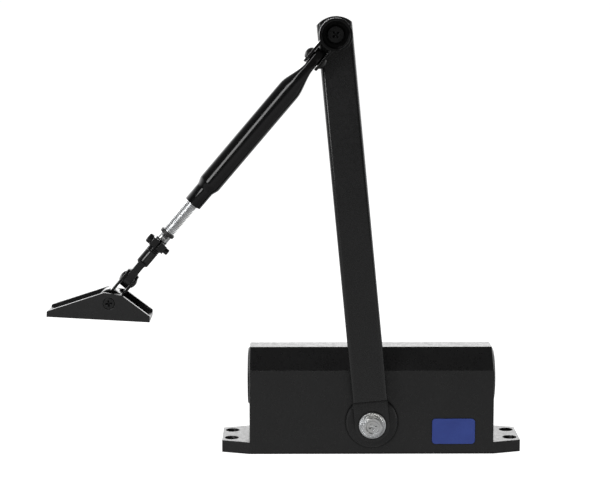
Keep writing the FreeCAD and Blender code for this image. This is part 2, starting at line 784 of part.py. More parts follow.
def rivet(label, shank, half_grip, head, head_high, along, place):
    """A rivet across the forearm with a domed head at each end."""
    bar = Part.makeCylinder(shank, 2 * half_grip, V(-half_grip, 0, along), X_AXIS)
    dome = (head ** 2 + head_high ** 2) / (2 * head_high)
    pieces = []
    for side in (-1, 1):
        ball = Part.makeSphere(dome, V(side * (half_grip + head_high - dome), 0, along))
        blank = Part.makeCylinder(head + 1, head_high + 1, V(side * half_grip, 0, along),
                                  V(side, 0, 0))
        pieces.append(ball.common(blank))
    return feature(label, bar.fuse(pieces), place)


def forearm_tube():
    """The steel tube: flattened to a tongue at the elbow, swaged to a threaded neck at its end."""
    rad = size("tube_rad")
    neck = size("neck_rad")
    tongue_rad = 5.6
    rivet_at = size("elbow_rivet_at")
    start = rivet_at - tongue_rad
    full = size("tube_full")
    thin = size("tongue_half")
    end = size("tube_end")
    across = 4 * rad
    edge = rad + 0.1
    profile = [V(0, 0, -start), V(rad, 0, -start), V(rad, 0, -size("tube_taper")),
               V(neck, 0, -size("tube_neck")), V(neck, 0, 0.6 - end), V(neck - 0.6, 0, -end),
               V(0, 0, -end)]
    round_tube = Part.Face(Part.makePolygon(profile + profile[:1])).revolve(V(0, 0, 0), Z_AXIS, 360)
    flank_from = 22.5
    bend = V(rad * 0.86, 0, -(flank_from + full) / 2)
    right = [
        Part.makeLine(V(thin, 0, 1 - start), V(thin, 0, -flank_from)),
        Part.Arc(V(thin, 0, -flank_from), bend, V(edge, 0, -full)).toShape(),
        Part.makeLine(V(edge, 0, -full), V(edge, 0, -end - 1)),
    ]
    left = [line.mirror(V(0, 0, 0), X_AXIS) for line in right]
    ends = [
        Part.makeLine(V(edge, 0, -end - 1), V(-edge, 0, -end - 1)),
        Part.makeLine(V(-thin, 0, 1 - start), V(thin, 0, 1 - start)),
    ]
    outline = Part.Wire(Part.__sortEdges__(right + left + ends))
    slab = Part.Face(outline).extrude(V(0, across, 0))
    slab.translate(V(0, -across / 2, 0))
    bore = Part.makeCylinder(rad - 2.6, 63, V(0, 0, 1 - size("tube_neck")), Z_AXIS)
    thread = Part.makeCylinder(size("rod_rad") + RUNNING_FIT, 14, V(0, 0, -end - 1), Z_AXIS)
    rivet_base = V(-across / 2, 0, -rivet_at)
    rivet_hole = Part.makeCylinder(2.55, across, rivet_base, X_AXIS)
    round_end = Part.makeCylinder(tongue_rad, across, rivet_base, X_AXIS)
    rest = Part.makeBox(across, across, end, V(-across / 2, -across / 2, -end - rivet_at))
    solid = round_tube.common(slab).cut([bore, thread, rivet_hole]).common(round_end.fuse(rest))
    return feature("forearm_tube", solid, forearm_frame())


def adjusting_rod():
    """The threaded rod, with wrench flats and a plain journal that turns in the sleeve."""
    outline = [
        ("0", "- rod_start"), ("rod_rad - 0.7", "- rod_start"), ("rod_rad", "- rod_start - 0.7"),
        ("rod_rad", "- ring_start"), ("rod_rad - 0.1", "- ring_start"),
        ("rod_rad - 0.1", "0.1 - sleeve_start"), ("rod_journal", "0.1 - sleeve_start"),
        ("rod_journal", "- journal_end"), ("0", "- journal_end"),
    ]
    body = turned_part("adjusting_rod", outline, forearm_frame())
    flats = sketch_on(body, "WrenchFlats", "YZ_Plane")
    rectangle(flats, "2.9", "4.9", "0.3 - sleeve_start", "3.3 - sleeve_start")
    rectangle(flats, "-4.9", "-2.9", "0.3 - sleeve_start", "3.3 - sleeve_start")
    pocket(body, flats, "Flats", "10", both_ways=True)
    return body


def rod_stop_ring():
    """The thin black ring at the foot of the thread."""
    outline = [
        ("rod_rad - 0.1", "- ring_start"), ("4.1", "- ring_start"), ("4.3", "- ring_start - 0.2"),
        ("4.3", "- ring_start - 1.8"), ("4.1", "- ring_start - 2"),
        ("rod_rad - 0.1", "- ring_start - 2"),
    ]
    return turned_part("rod_stop_ring", outline, forearm_frame())


def rod_sleeve():
    """The sleeve that holds the rod's journal, flattened to a tongue for the foot rivet."""
    bore = f"rod_journal + {RUNNING_FIT}"
    outline = [(bore, "- sleeve_start"), ("sleeve_rad", "- sleeve_start"),
               ("sleeve_rad", "- sleeve_start - 5.2"), ("sleeve_rad + 0.2", "- sleeve_start - 5.4")]
    for groove in range(3):
        top = f"- sleeve_start - {5.7 + groove}"
        outline += [("sleeve_rad + 0.2", top), ("sleeve_rad - 0.3", f"{top} - 0.2"),
                    ("sleeve_rad - 0.3", f"{top} - 0.5"), ("sleeve_rad + 0.2", f"{top} - 0.7")]
    outline += [("sleeve_rad", "- sleeve_start - 9"), ("sleeve_rad", "1 - sleeve_end"),
                ("sleeve_rad - 1", "- sleeve_end"), ("0", "- sleeve_end"),
                ("0", "- journal_end - 0.9"), (bore, "- journal_end - 0.9")]
    body = turned_part("rod_sleeve", outline, forearm_frame())
    tongue = sketch_on(body, "TongueSide", "YZ_Plane")
    rectangle(tongue, "-5.2", "5.2", "- foot_rivet_at", "2 - sleeve_end")
    pad(body, tongue, "Tongue", "foot_tongue", both_ways=True)
    eye = sketch_on(body, "TongueEye", "YZ_Plane")
    circle(eye, "0", "- foot_rivet_at", "5.2")
    pad(body, eye, "RoundTongue", "foot_tongue", both_ways=True)
    hole = sketch_on(body, "TongueHole", "YZ_Plane")
    circle(hole, "0", "- foot_rivet_at", "2.05")
    pocket(body, hole, "RivetHole", "20", both_ways=True)
    return body


def clamp_collar():
    """The split collar that grips the sleeve, with two lugs in front for the lock screw."""
    body = new_body("clamp_collar")
    low = "- sleeve_start - clamp_len - 0.1"
    front = "- screw_forward - 2.8"
    ring = sketch_on(body, "ClampRing", "XY_Plane", low)
    circle(ring, "0", "0", "clamp_half")
    pad(body, ring, "Ring", "clamp_len")
    lugs = sketch_on(body, "ClampLugs", "XY_Plane", low)
    rectangle(lugs, "- clamp_half", "clamp_half", front, "0")
    pad(body, lugs, "Lugs", "clamp_len")
    rounded(body, "LugCorners", "0.8",
            lambda m, d: near(abs(d.z), 1) and m.y < -size("screw_forward"))
    bore = sketch_on(body, "SleeveBoreCircle", "XY_Plane", low)
    circle(bore, "0", "0", "sleeve_rad")
    pocket(body, bore, "SleeveBore", "3 * clamp_len", both_ways=True)
    slit = sketch_on(body, "SlitSides", "XY_Plane", low)
    rectangle(slit, "-0.5", "0.5", f"{front} - 1", "0")
    pocket(body, slit, "Slit", "3 * clamp_len", both_ways=True)
    screw = sketch_on(body, "ScrewCircle", "YZ_Plane")
    circle(screw, "- screw_forward", f"{low} + clamp_len / 2", "1.8")
    pocket(body, screw, "ScrewBore", "4 * clamp_half", both_ways=True)
    body.Placement = forearm_frame()
    return body


def lock_screw():
    """The screw that closes the collar, with a socket head and a bare tip."""
    outline = [("0", "0"), ("2.2", "0"), ("2.8", "-0.6"), ("2.8", "-2.45"), ("1.75", "-2.45"),
               ("1.75", "-13.9"), ("1.35", "-14.3"), ("0", "-14.3")]
    height = -size("sleeve_start") - 0.1 - size("clamp_len") / 2
    start = facing(FACING_LEFT, -size("clamp_half") - 2.5, -size("screw_forward"), height)
    body = turned_part("lock_screw", outline, forearm_frame().multiply(start))
    socket = sketch_on(body, "SocketSides", "XY_Plane")
    hexagon(socket, "1.45")
    pocket(body, socket, "Socket", "1.5")
    return body


def foot_bush():
    """The bush pressed into the foot knuckle, which turns on the bracket's pin."""
    half = (size("foot_width") - 2 * size("foot_plate")) / 2 - 0.15
    place = facing(FACING_FRONT, 0, half, -size("forearm_len"))
    return plain_ring("foot_bush", f"3 + {RUNNING_FIT}", "4.8",
                      "foot_width - 2 * foot_plate - 0.3", forearm_frame().multiply(place))


def foot_bracket():
    """The channel-shaped bracket that is screwed to the door frame."""
    body = new_body("foot_bracket")
    side = sketch_on(body, "SidePlate", "XZ_Plane")
    polygon(side, [
        ("- foot_left", "- foot_drop"),
        ("foot_right", "- foot_drop"),
        ("foot_right", "- foot_drop + 3.4"),
        ("foot_rise + 1", "foot_rise - 1"),
        ("- foot_rise + 3", "foot_rise"),
        ("- foot_left", "- foot_drop + 3.2"),
    ])
    pad(body, side, "Channel", "foot_width", both_ways=True)
    rounded(body, "ApexRound", "3",
            lambda m, d: near(abs(d.y), 1) and m.z > 0)
    rounded(body, "EndRound", "1",
            lambda m, d: near(abs(d.y), 1) and m.z < 0 and m.z > -size("foot_drop") + 1)
    inside = sketch_on(body, "ChannelInside", "YZ_Plane")
    half_gap = "( foot_width / 2 - foot_plate )"
    polygon(inside, [
        (f"- {half_gap}", "- foot_drop + foot_plate"),
        (half_gap, "- foot_drop + foot_plate"),
        (half_gap, "foot_rise + 2"),
        (f"- {half_gap}", "foot_rise + 2"),
    ])
    pocket(body, inside, "Inside", "3 * foot_left", both_ways=True)
    screws = sketch_on(body, "ScrewHoles", "XY_Plane", "- foot_drop")
    circle(screws, "- foot_left + 9", "0", "2.6")
    circle(screws, "foot_right - 8", "0", "2.6")
    pocket(body, screws, "FrameScrewHoles", "foot_plate + 1", reverse=True)
    near_hole = sketch_on(body, "NearPinHole", "XZ_Plane")
    circle(near_hole, "0", "0", "3.4")
    pocket(body, near_hole, "NearPin", "foot_width", reverse=True)
    far_hole = sketch_on(body, "FarPinHole", "XZ_Plane")
    circle(far_hole, "0", "0", "3")
    pocket(body, far_hole, "FarPin", "foot_width")
    body.Placement = foot_frame()
    return body


def foot_pivot_screw():
    """The screw that carries the knuckle between the bracket's two side plates."""
    outline = [("0", "0"), ("3", "0"), ("3.38", "-0.4"), ("3.38", "- foot_plate"),
               ("3", "- foot_plate"), ("3", "- foot_width"), ("0", "- foot_width")]
    front = facing(FACING_FRONT, y=-size("foot_width") / 2)
    body = turned_part("foot_pivot_screw", outline, foot_frame().multiply(front))
    cross_recess(body, "0", "3.8", "1.3", 10)
    return body


def badge_plate():
    """A plain coloured plate with rounded corners on the front face."""
    body = new_body("badge_plate")
    outline = sketch_on(body, "BadgeOutline", "XZ_Plane", "block_depth / 2")
    rectangle(outline, "badge_along - badge_long / 2", "badge_along + badge_long / 2",
              "badge_up - badge_high / 2", "badge_up + badge_high / 2")
    pad(body, outline, "Plate", "0.4")
    rounded(body, "BadgeCorners", "2", lambda m, d: near(abs(d.y), 1))
    return body


def build():
    """Make every sub-part."""
    body_casting()
    bore = size("bore_height")
    height = size("pinion_height")
    rear = size("block_depth") / 2
    for side, name, rotation in ((-1, "left", FACING_LEFT), (1, "right", FACING_RIGHT)):
        end_plug(f"{name}_end_plug", side)
        groove = V(side * (size("block_len") / 2 - 3.4), 0, bore)
        ring_seal(f"{name}_plug_seal", groove, rotation, "plug_thread_rad - 0.8", "0.75")
    front_collar()
    journal = f"journal_rad + {RUNNING_FIT}"
    for label, length, start in (("front_shaft_seal", "3", -rear - 1.4),
                                 ("front_bearing", "7.7", -rear + 1.7),
                                 ("rear_bearing", "7.7", size("gear_width") / 2 + 0.6)):
        plain_ring(label, journal, "bearing_rad", length, facing(FACING_REAR, y=start, z=height))
    rear_cap()
    ring_seal("rear_cap_seal", V(0, rear - 1.25, height), FACING_REAR, "bearing_rad - 0.7", "0.65")
    valve_screw("closing_valve_screw", -1)
    valve_screw("latching_valve_screw", 1)
    pinion_shaft()
    piston()
    piston_fittings()
    main_spring()
    main_arm()
    arm_fastening()
    elbow_stud()
    elbow_knuckle()
    rivet("elbow_rivet", 2.5, size("tongue_half") + 1.85, 3.7, 2.2, -size("elbow_rivet_at"),
          forearm_frame())
    forearm_tube()
    adjusting_rod()
    rod_stop_ring()
    rod_sleeve()
    clamp_collar()
    lock_screw()
    foot_knuckle()
    foot_bush()
    rivet("foot_rivet", 2, size("foot_tongue") / 2 + 1.7, 3.4, 1.3, -size("foot_rivet_at"),
          forearm_frame())
    foot_bracket()
    foot_pivot_screw()
    badge_plate()


def check():
    """Stop if any object failed or any sub-part has no sound solid."""
    for item in doc.Objects:
        if {"Invalid", "Error"} & set(item.State):
            raise ValueError(f"{item.Name} is {item.State}")
    for part in PARTS:
        if part.Shape.isNull() or not part.Shape.isValid() or not part.Shape.Solids:
            raise ValueError(f"{part.Label} has no valid solid")


def write():
    os.makedirs("parts", exist_ok=True)
    for part in PARTS:
        part.Shape.exportStep(f"parts/{part.Label}.step")


build()
doc.recompute()
check()
write()
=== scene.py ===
"""The looks of the door closer: its finishes, the threaded rod, the drawn tube and the washer.

Everything is in metres in the CAD frame: X along the body, Y from the arm side (-Y) to the back,
Z up from the mounting face.
"""
import json
import math

import bmesh
import bpy
from mathutils import Matrix, Vector

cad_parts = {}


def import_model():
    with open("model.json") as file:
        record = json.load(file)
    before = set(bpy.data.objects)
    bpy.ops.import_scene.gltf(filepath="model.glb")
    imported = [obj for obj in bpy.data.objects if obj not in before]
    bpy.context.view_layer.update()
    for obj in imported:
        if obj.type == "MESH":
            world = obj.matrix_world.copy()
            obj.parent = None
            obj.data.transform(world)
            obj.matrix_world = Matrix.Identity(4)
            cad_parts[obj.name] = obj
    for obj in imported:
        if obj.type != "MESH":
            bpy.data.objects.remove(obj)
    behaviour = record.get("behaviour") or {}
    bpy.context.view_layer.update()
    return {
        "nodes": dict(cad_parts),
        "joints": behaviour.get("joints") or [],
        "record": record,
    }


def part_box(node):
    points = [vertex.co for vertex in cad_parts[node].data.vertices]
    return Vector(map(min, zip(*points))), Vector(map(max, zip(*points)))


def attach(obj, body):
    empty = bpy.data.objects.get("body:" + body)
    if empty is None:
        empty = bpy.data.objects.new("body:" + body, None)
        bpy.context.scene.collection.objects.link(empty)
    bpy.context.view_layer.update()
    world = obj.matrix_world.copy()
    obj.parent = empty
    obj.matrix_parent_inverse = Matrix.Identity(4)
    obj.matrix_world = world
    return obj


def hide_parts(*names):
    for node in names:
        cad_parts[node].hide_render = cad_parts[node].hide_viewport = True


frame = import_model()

MM = 0.001
SHADE_SAMPLES = 6
BODY_PARTS = frame["nodes"]
JOINTS = {joint["name"]: joint for joint in frame["joints"]}


# Node helpers


def new_material(name):
    """An empty Principled material: (material, node tree, shader)."""
    material = bpy.data.materials.new(name)
    material.use_nodes = True
    tree = material.node_tree
    shader = tree.nodes["Principled BSDF"]
    return material, tree, shader


def noise(tree, scale, detail=4.0, roughness=0.55, stretch=(1, 1, 1)):
    """A noise texture fixed to the object, in cycles per metre."""
    coords = tree.nodes.new("ShaderNodeTexCoord")
    mapping = tree.nodes.new("ShaderNodeMapping")
    mapping.inputs["Scale"].default_value = stretch
    texture = tree.nodes.new("ShaderNodeTexNoise")
    texture.inputs["Scale"].default_value = scale
    texture.inputs["Detail"].default_value = detail
    texture.inputs["Roughness"].default_value = roughness
    tree.links.new(coords.outputs["Object"], mapping.inputs["Vector"])
    tree.links.new(mapping.outputs["Vector"], texture.inputs["Vector"])
    return texture.outputs["Fac"]


def spread(tree, source, low, high, start=0.3, end=0.7):
    """A 0-to-1 signal spread between two numbers."""
    node = tree.nodes.new("ShaderNodeMapRange")
    node.inputs["From Min"].default_value = start
    node.inputs["From Max"].default_value = end
    node.inputs["To Min"].default_value = low
    node.inputs["To Max"].default_value = high
    tree.links.new(source, node.inputs["Value"])
    return node.outputs["Result"]


def mixed(tree, factor, first, second):
    """Two colours mixed by a signal."""
    node = tree.nodes.new("ShaderNodeMix")
    node.data_type = "RGBA"
    colours = {socket.name: socket for socket in node.inputs if socket.type == "RGBA"}
    for name, colour in (("A", first), ("B", second)):
        if isinstance(colour, tuple):
            colours[name].default_value = (*colour, 1)
        else:
            tree.links.new(colour, colours[name])
    tree.links.new(factor, node.inputs["Factor"])
    return next(socket for socket in node.outputs if socket.type == "RGBA")


def rounded_normal(tree, radius):
    """Normals that turn sharp edges over a small radius."""
    bevel = tree.nodes.new("ShaderNodeBevel")
    bevel.samples = SHADE_SAMPLES
    bevel.inputs["Radius"].default_value = radius
    return bevel.outputs["Normal"]


def edge_mask(tree, radius):
    """A signal that is 0 on flat faces and rises to 1 where the surface turns a sharp edge."""
    geometry = tree.nodes.new("ShaderNodeNewGeometry")
    dot = tree.nodes.new("ShaderNodeVectorMath")
    dot.operation = "DOT_PRODUCT"
    tree.links.new(rounded_normal(tree, radius), dot.inputs[0])
    tree.links.new(geometry.outputs["Normal"], dot.inputs[1])
    return spread(tree, dot.outputs["Value"], 1.0, 0.0, 0.80, 0.995)


def bump(tree, shader, height, strength, distance, radius=0.0):
    """A bump from a height signal, on top of rounded edges of a small radius."""
    node = tree.nodes.new("ShaderNodeBump")
    node.inputs["Strength"].default_value = strength
    node.inputs["Distance"].default_value = distance
    tree.links.new(height, node.inputs["Height"])
    if radius:
        tree.links.new(rounded_normal(tree, radius), node.inputs["Normal"])
    tree.links.new(node.outputs["Normal"], shader.inputs["Normal"])


def painted_crevice_shade(tree, reach, low, high):
    """Painted shade: a signal that falls from high to low in grooves and inside corners, where shade
    would fall.
    """
    shade = tree.nodes.new("ShaderNodeAmbientOcclusion")
    shade.samples = SHADE_SAMPLES
    shade.inputs["Distance"].default_value = reach
    return spread(tree, shade.outputs["AO"], low, high, 0.55, 0.92)


def paint(name, dark, light, rough, peel, edge_radius=0.3 * MM, level=0.5):
    """Black enamel: faint orange peel, uneven tone, sharp edges tinted a little lighter, and painted
    shade in crevices.
    """
    material, tree, shader = new_material(name)
    patches = noise(tree, 45, 3)
    # The sharp edges are tinted a little lighter than the flat faces
    edge_signal = edge_mask(tree, 2 * edge_radius)
    body = mixed(tree, spread(tree, patches, 0, 1), dark, light)
    edge_colour = tuple(3.0 * part + 0.006 for part in light)
    edge_share = 0.3
    faint = tree.nodes.new("ShaderNodeMath")
    faint.operation = "MULTIPLY"
    faint.inputs[1].default_value = edge_share
    tree.links.new(edge_signal, faint.inputs[0])
    tree.links.new(mixed(tree, faint.outputs["Value"], body, edge_colour), shader.inputs["Base Color"])
    grain = noise(tree, 420, 2)
    tree.links.new(spread(tree, grain, rough - 0.04, rough + 0.05), shader.inputs["Roughness"])
    bump(tree, shader, noise(tree, 700, 3), peel, 0.06 * MM, edge_radius)
    # Painted shade: the specular level drops in grooves and inside corners so that they read dark
    tree.links.new(painted_crevice_shade(tree, 1.4 * MM, 0.12 * level, level),
                   shader.inputs["Specular IOR Level"])
    return material


def metal(name, colour, shade, rough, streak=(1, 1, 1), edge_radius=0.15 * MM, tint=None):
    """Bare or plated metal with fine tool marks and a cloudy tone."""
    material, tree, shader = new_material(name)
    shader.inputs["Metallic"].default_value = 1.0
    clouds = noise(tree, 160, 4)
    base = mixed(tree, spread(tree, clouds, 0, 1), colour, shade)
    if tint:
        base = mixed(tree, spread(tree, noise(tree, 60, 2), 0, 0.5, 0.45, 0.7), base, tint)
    tree.links.new(base, shader.inputs["Base Color"])
    marks = noise(tree, 900, 5, 0.6, streak)
    tree.links.new(spread(tree, marks, rough - 0.07, rough + 0.1), shader.inputs["Roughness"])
    bump(tree, shader, marks, 0.08, 0.03 * MM, edge_radius)
    return material


def soft(name, dark, light, rough, specular=0.4):
    """Rubber or moulded plastic."""
    material, tree, shader = new_material(name)
    tone = noise(tree, 120, 3)
    tree.links.new(mixed(tree, spread(tree, tone, 0, 1), dark, light), shader.inputs["Base Color"])
    tree.links.new(spread(tree, noise(tree, 800, 2), rough - 0.05, rough + 0.08),
                   shader.inputs["Roughness"])
    shader.inputs["Specular IOR Level"].default_value = specular
    bump(tree, shader, noise(tree, 1500, 2), 0.15, 0.02 * MM)
    return material


MATERIALS = {
    "casting_paint": paint("casting_enamel", (0.0036, 0.0036, 0.0037), (0.0048, 0.0048, 0.0049),
                           0.30, 0.05),
    "arm_paint": paint("arm_enamel", (0.0035, 0.0035, 0.0036), (0.0050, 0.0050, 0.0052),
                       0.27, 0.03),
    "tube_paint": paint("tube_enamel", (0.002, 0.002, 0.0021), (0.003, 0.003, 0.0031),
                        0.13, 0.02, level=0.3),
    "bracket_paint": paint("bracket_enamel", (0.0050, 0.0050, 0.0052), (0.0065, 0.0065, 0.0067),
                           0.30, 0.12),
    "black_steel": paint("blackened_steel", (0.003, 0.003, 0.0032), (0.006, 0.006, 0.0062),
                         0.17, 0.03, edge_radius=0.15 * MM, level=0.45),
    "zinc_steel": metal("zinc_plate", (0.80, 0.81, 0.82), (0.68, 0.69, 0.70), 0.33,
                        tint=(0.74, 0.72, 0.66)),
    "machined_steel": metal("machined_steel", (0.56, 0.56, 0.57), (0.46, 0.46, 0.47), 0.28,
                            streak=(1, 6, 1)),
    "spring_steel": metal("spring_wire", (0.20, 0.20, 0.21), (0.13, 0.13, 0.14), 0.3),
    "piston_iron": metal("ground_iron", (0.36, 0.36, 0.36), (0.29, 0.29, 0.29), 0.34,
                         streak=(1, 5, 5)),
    "bearing_bronze": metal("sintered_bronze", (0.62, 0.44, 0.21), (0.5, 0.35, 0.17), 0.38),
    "seal_rubber": soft("nitrile_rubber", (0.012, 0.012, 0.012), (0.02, 0.02, 0.02), 0.62),
    "ring_plastic": soft("black_plastic", (0.010, 0.010, 0.010), (0.016, 0.016, 0.016), 0.42),
    "badge_blue": soft("blue_badge_print", (0.016, 0.032, 0.165), (0.020, 0.040, 0.190), 0.4, 0.3),
}
SLOT_OF = {entry["node"]: entry["material_slot"] for entry in frame["record"]["subparts"]}
BODY_OF = {node: body for body, nodes in frame["record"]["behaviour"]["bodies"].items()
           for node in nodes}


def finish_node(node):
    """Give a CAD node its finish."""
    mesh = BODY_PARTS[node].data
    mesh.materials.clear()
    mesh.materials.append(MATERIALS[SLOT_OF[node]])


for node in BODY_PARTS:
    finish_node(node)


# Mesh helpers


def add_piece(name, mesh, body, slot, *replaced, sharp=35):
    """Put a finished mesh on a body, with its finish, in place of CAD nodes."""
    piece = bpy.data.objects.new(name, mesh)
    bpy.context.scene.collection.objects.link(piece)
    mesh.materials.clear()
    mesh.materials.append(MATERIALS[slot])
    for face in mesh.polygons:
        face.use_smooth = True
        face.material_index = 0
    mesh.set_sharp_from_angle(angle=math.radians(sharp))
    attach(piece, body)
    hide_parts(*replaced)
    return piece


def as_mesh(name, work):
    """The mesh that a bmesh holds."""
    mesh = bpy.data.meshes.new(name)
    work.to_mesh(mesh)
    work.free()
    return mesh


def softened(node, width):
    """Round the sharp edges of a CAD part that is seen from near."""
    part = BODY_PARTS[node]
    weld = part.modifiers.new("weld", "WELD")
    weld.merge_threshold = 0.002 * MM
    rounding = part.modifiers.new("rounding", "BEVEL")
    rounding.width = width
    rounding.segments = 2
    rounding.limit_method = "ANGLE"
    rounding.angle_limit = math.radians(28)
    rounding.harden_normals = True


def lofted(name, rings, place, closed=False):
    """A skin over rings of points, capped at both ends or closed end to end."""
    work = bmesh.new()
    layers = [[work.verts.new(place @ point) for point in ring] for ring in rings]
    count = len(layers[0])
    followers = layers[1:] + (layers[:1] if closed else [])
    for low, high in zip(layers, followers):
        for i in range(count):
            j = (i + 1) % count
            work.faces.new((low[i], low[j], high[j], high[i]))
    if not closed:
        work.faces.new(list(reversed(layers[0])))
        work.faces.new(layers[-1])
    bmesh.ops.recalc_face_normals(work, faces=work.faces)
    return as_mesh(name, work)


def angles(count):
    """Evenly spaced turns, in radians."""
    return [2 * math.pi * i / count for i in range(count)]


def eased(low, high, where, start, end):
    """A number that eases from low to high between two places."""
    share = min(max((where - start) / (end - start), 0), 1)
    return low + (high - low) * (3 - 2 * share) * share ** 2


# The forearm's own frame: origin at the elbow, -Z towards the foot, X across, Y to the back

ELBOW = Vector(JOINTS["elbow_hinge"]["pos_m"])
FOOT_PIVOT = Vector(JOINTS["foot_hinge"]["pos_m"])
ALONG = (FOOT_PIVOT - ELBOW).normalized()
ACROSS = Vector((0, 1, 0)).cross(-ALONG).normalized()
FOREARM = Matrix((
    (ACROSS.x, 0, -ALONG.x, ELBOW.x),
    (ACROSS.y, 1, -ALONG.y, ELBOW.y),
    (ACROSS.z, 0, -ALONG.z, ELBOW.z),
    (0, 0, 0, 1),
))



def reach(node):
    """Where a node starts and ends along the forearm, from the elbow."""
    spots = [(vertex.co - ELBOW).dot(ALONG) for vertex in BODY_PARTS[node].data.vertices]
    return min(spots), max(spots)


# The tube: its radii, the tongue at the elbow, and lengths from the tube's two ends
TUBE_RAD = 6.5 * MM
NECK_RAD = 5.15 * MM
TONGUE_HALF = 2.9 * MM
TONGUE_ROUND = 5.6 * MM
TONGUE_LENGTH = 11 * MM
FLARE_LENGTH = 29.5 * MM
TAPER_LENGTH = 15.4 * MM
NECK_LENGTH = 10.2 * MM
LIP = 0.45 * MM
ROUND = 2
FLATTENED = 5
TUBE_SIDES = 64

# The rod and its thread
ROD_RAD = 3.5 * MM
ROD_FIT = 0.12 * MM
ROD_END_TAPER = 0.7 * MM
ROD_NECK_RAD = ROD_RAD - 0.1 * MM
JOURNAL_RAD = 2.6 * MM
JOURNAL_CHAMFER = 0.4 * MM
WRENCH_HALF = 2.9 * MM
THREAD_PITCH = 1.0 * MM
THREAD_DEPTH = 0.5 * MM
THREAD_STEPS = 8
ROD_SIDES = 36


def tube_section(where, half_thick, half_wide, squareness):
    """A cross-section of the tube, from ROUND to FLATTENED."""
    ring = []
    for turn in angles(TUBE_SIDES):
        across = abs(math.cos(turn)) ** (2 / squareness) * half_thick
        deep = abs(math.sin(turn)) ** (2 / squareness) * half_wide
        ring.append(Vector((math.copysign(across, math.cos(turn)),
                            math.copysign(deep, math.sin(turn)), -where)))
    return ring


def forearm_tube():
    """The drawn tube: pressed flat at the elbow, swaged to a neck, open at its threaded end."""
    start, end = reach("forearm_tube")
    flat_end = start + TONGUE_LENGTH
    full = start + FLARE_LENGTH
    taper = end - TAPER_LENGTH
    neck = end - NECK_LENGTH
    eye = start + TONGUE_ROUND
    rings = []
    tip_steps = 6
    for step in range(tip_steps + 1):
        turn = math.pi / 2 * step / tip_steps
        where = start + TONGUE_ROUND * (1 - math.cos(turn))
        half_wide = TONGUE_ROUND * math.sin(turn) + 0.25 * MM
        rings.append(tube_section(where, TONGUE_HALF, half_wide, FLATTENED))
    flare_steps = 26
    for step in range(1, flare_steps + 1):
        where = eye + (full - eye) * step / flare_steps
        half_thick = eased(TONGUE_HALF, TUBE_RAD, where, flat_end, full)
        half_wide = eased(TONGUE_ROUND, TUBE_RAD, where, eye, flat_end)
        squareness = eased(FLATTENED, ROUND, where, flat_end - 2 * MM, full - 4 * MM)
        rings.append(tube_section(where, half_thick, half_wide, squareness))
    taper_steps = 12
    for step in range(taper_steps + 1):
        where = taper + (neck - taper) * step / taper_steps
        radius = eased(TUBE_RAD, NECK_RAD, where, taper, neck)
        rings.append(tube_section(where, radius, radius, ROUND))
    bore = ROD_RAD + ROD_FIT
    mouth = (
        (end - LIP, NECK_RAD),
        (end - 0.3 * LIP, NECK_RAD - 0.3 * LIP),
        (end, NECK_RAD - LIP),
        (end, bore + LIP),
        (end - LIP, bore),
        (neck, bore),
    )
    for where, radius in mouth:
        rings.append(tube_section(where, radius, radius, ROUND))
    mesh = lofted("forearm_tube_drawn", rings, FOREARM)
    add_piece("forearm_tube_drawn", mesh, "forearm", "tube_paint", "forearm_tube")


def rod_section(where, radius, threaded=0.0, flat=None):
    """A cross-section of the rod; a thread's height depends on the turn as well."""
    ring = []
    for turn in angles(ROD_SIDES):
        phase = (where / THREAD_PITCH - turn / (2 * math.pi)) % 1
        groove = min(1.0, 1.3 * abs(2 * phase - 1))
        reach_out = radius - threaded * (1 - groove)
        deep = reach_out * math.sin(turn)
        if flat:
            deep = min(max(deep, -flat), flat)
        ring.append(Vector((reach_out * math.cos(turn), deep, -where)))
    return ring


def adjusting_rod():
    """The rod with its rolled thread, wrench flats and journal."""
    start, end = reach("adjusting_rod")
    stop = reach("rod_stop_ring")[0]
    shoulder = reach("rod_sleeve")[0] - 0.1 * MM
    thread_start = start + ROD_END_TAPER
    rings = [rod_section(start, ROD_RAD - ROD_END_TAPER)]
    step = THREAD_PITCH / THREAD_STEPS
    for number in range(int((stop - thread_start) / step)):
        rings.append(rod_section(thread_start + number * step, ROD_RAD, THREAD_DEPTH))
    rings.append(rod_section(stop, ROD_NECK_RAD))
    wrench_flats = (
        (shoulder - 3.2 * MM, None),
        (shoulder - 3.15 * MM, WRENCH_HALF),
        (shoulder - 0.25 * MM, WRENCH_HALF),
        (shoulder - 0.2 * MM, None),
        (shoulder, None),
    )
    for where, half in wrench_flats:
        rings.append(rod_section(where, ROD_NECK_RAD, flat=half))
    journal = (
        (shoulder, JOURNAL_RAD),
        (end - JOURNAL_CHAMFER, JOURNAL_RAD),
        (end, JOURNAL_RAD - JOURNAL_CHAMFER),
    )
    for where, radius in journal:
        rings.append(rod_section(where, radius))
    mesh = lofted("adjusting_rod_threaded", rings, FOREARM)
    add_piece("adjusting_rod_threaded", mesh, "rod", "zinc_steel", "adjusting_rod", sharp=90)


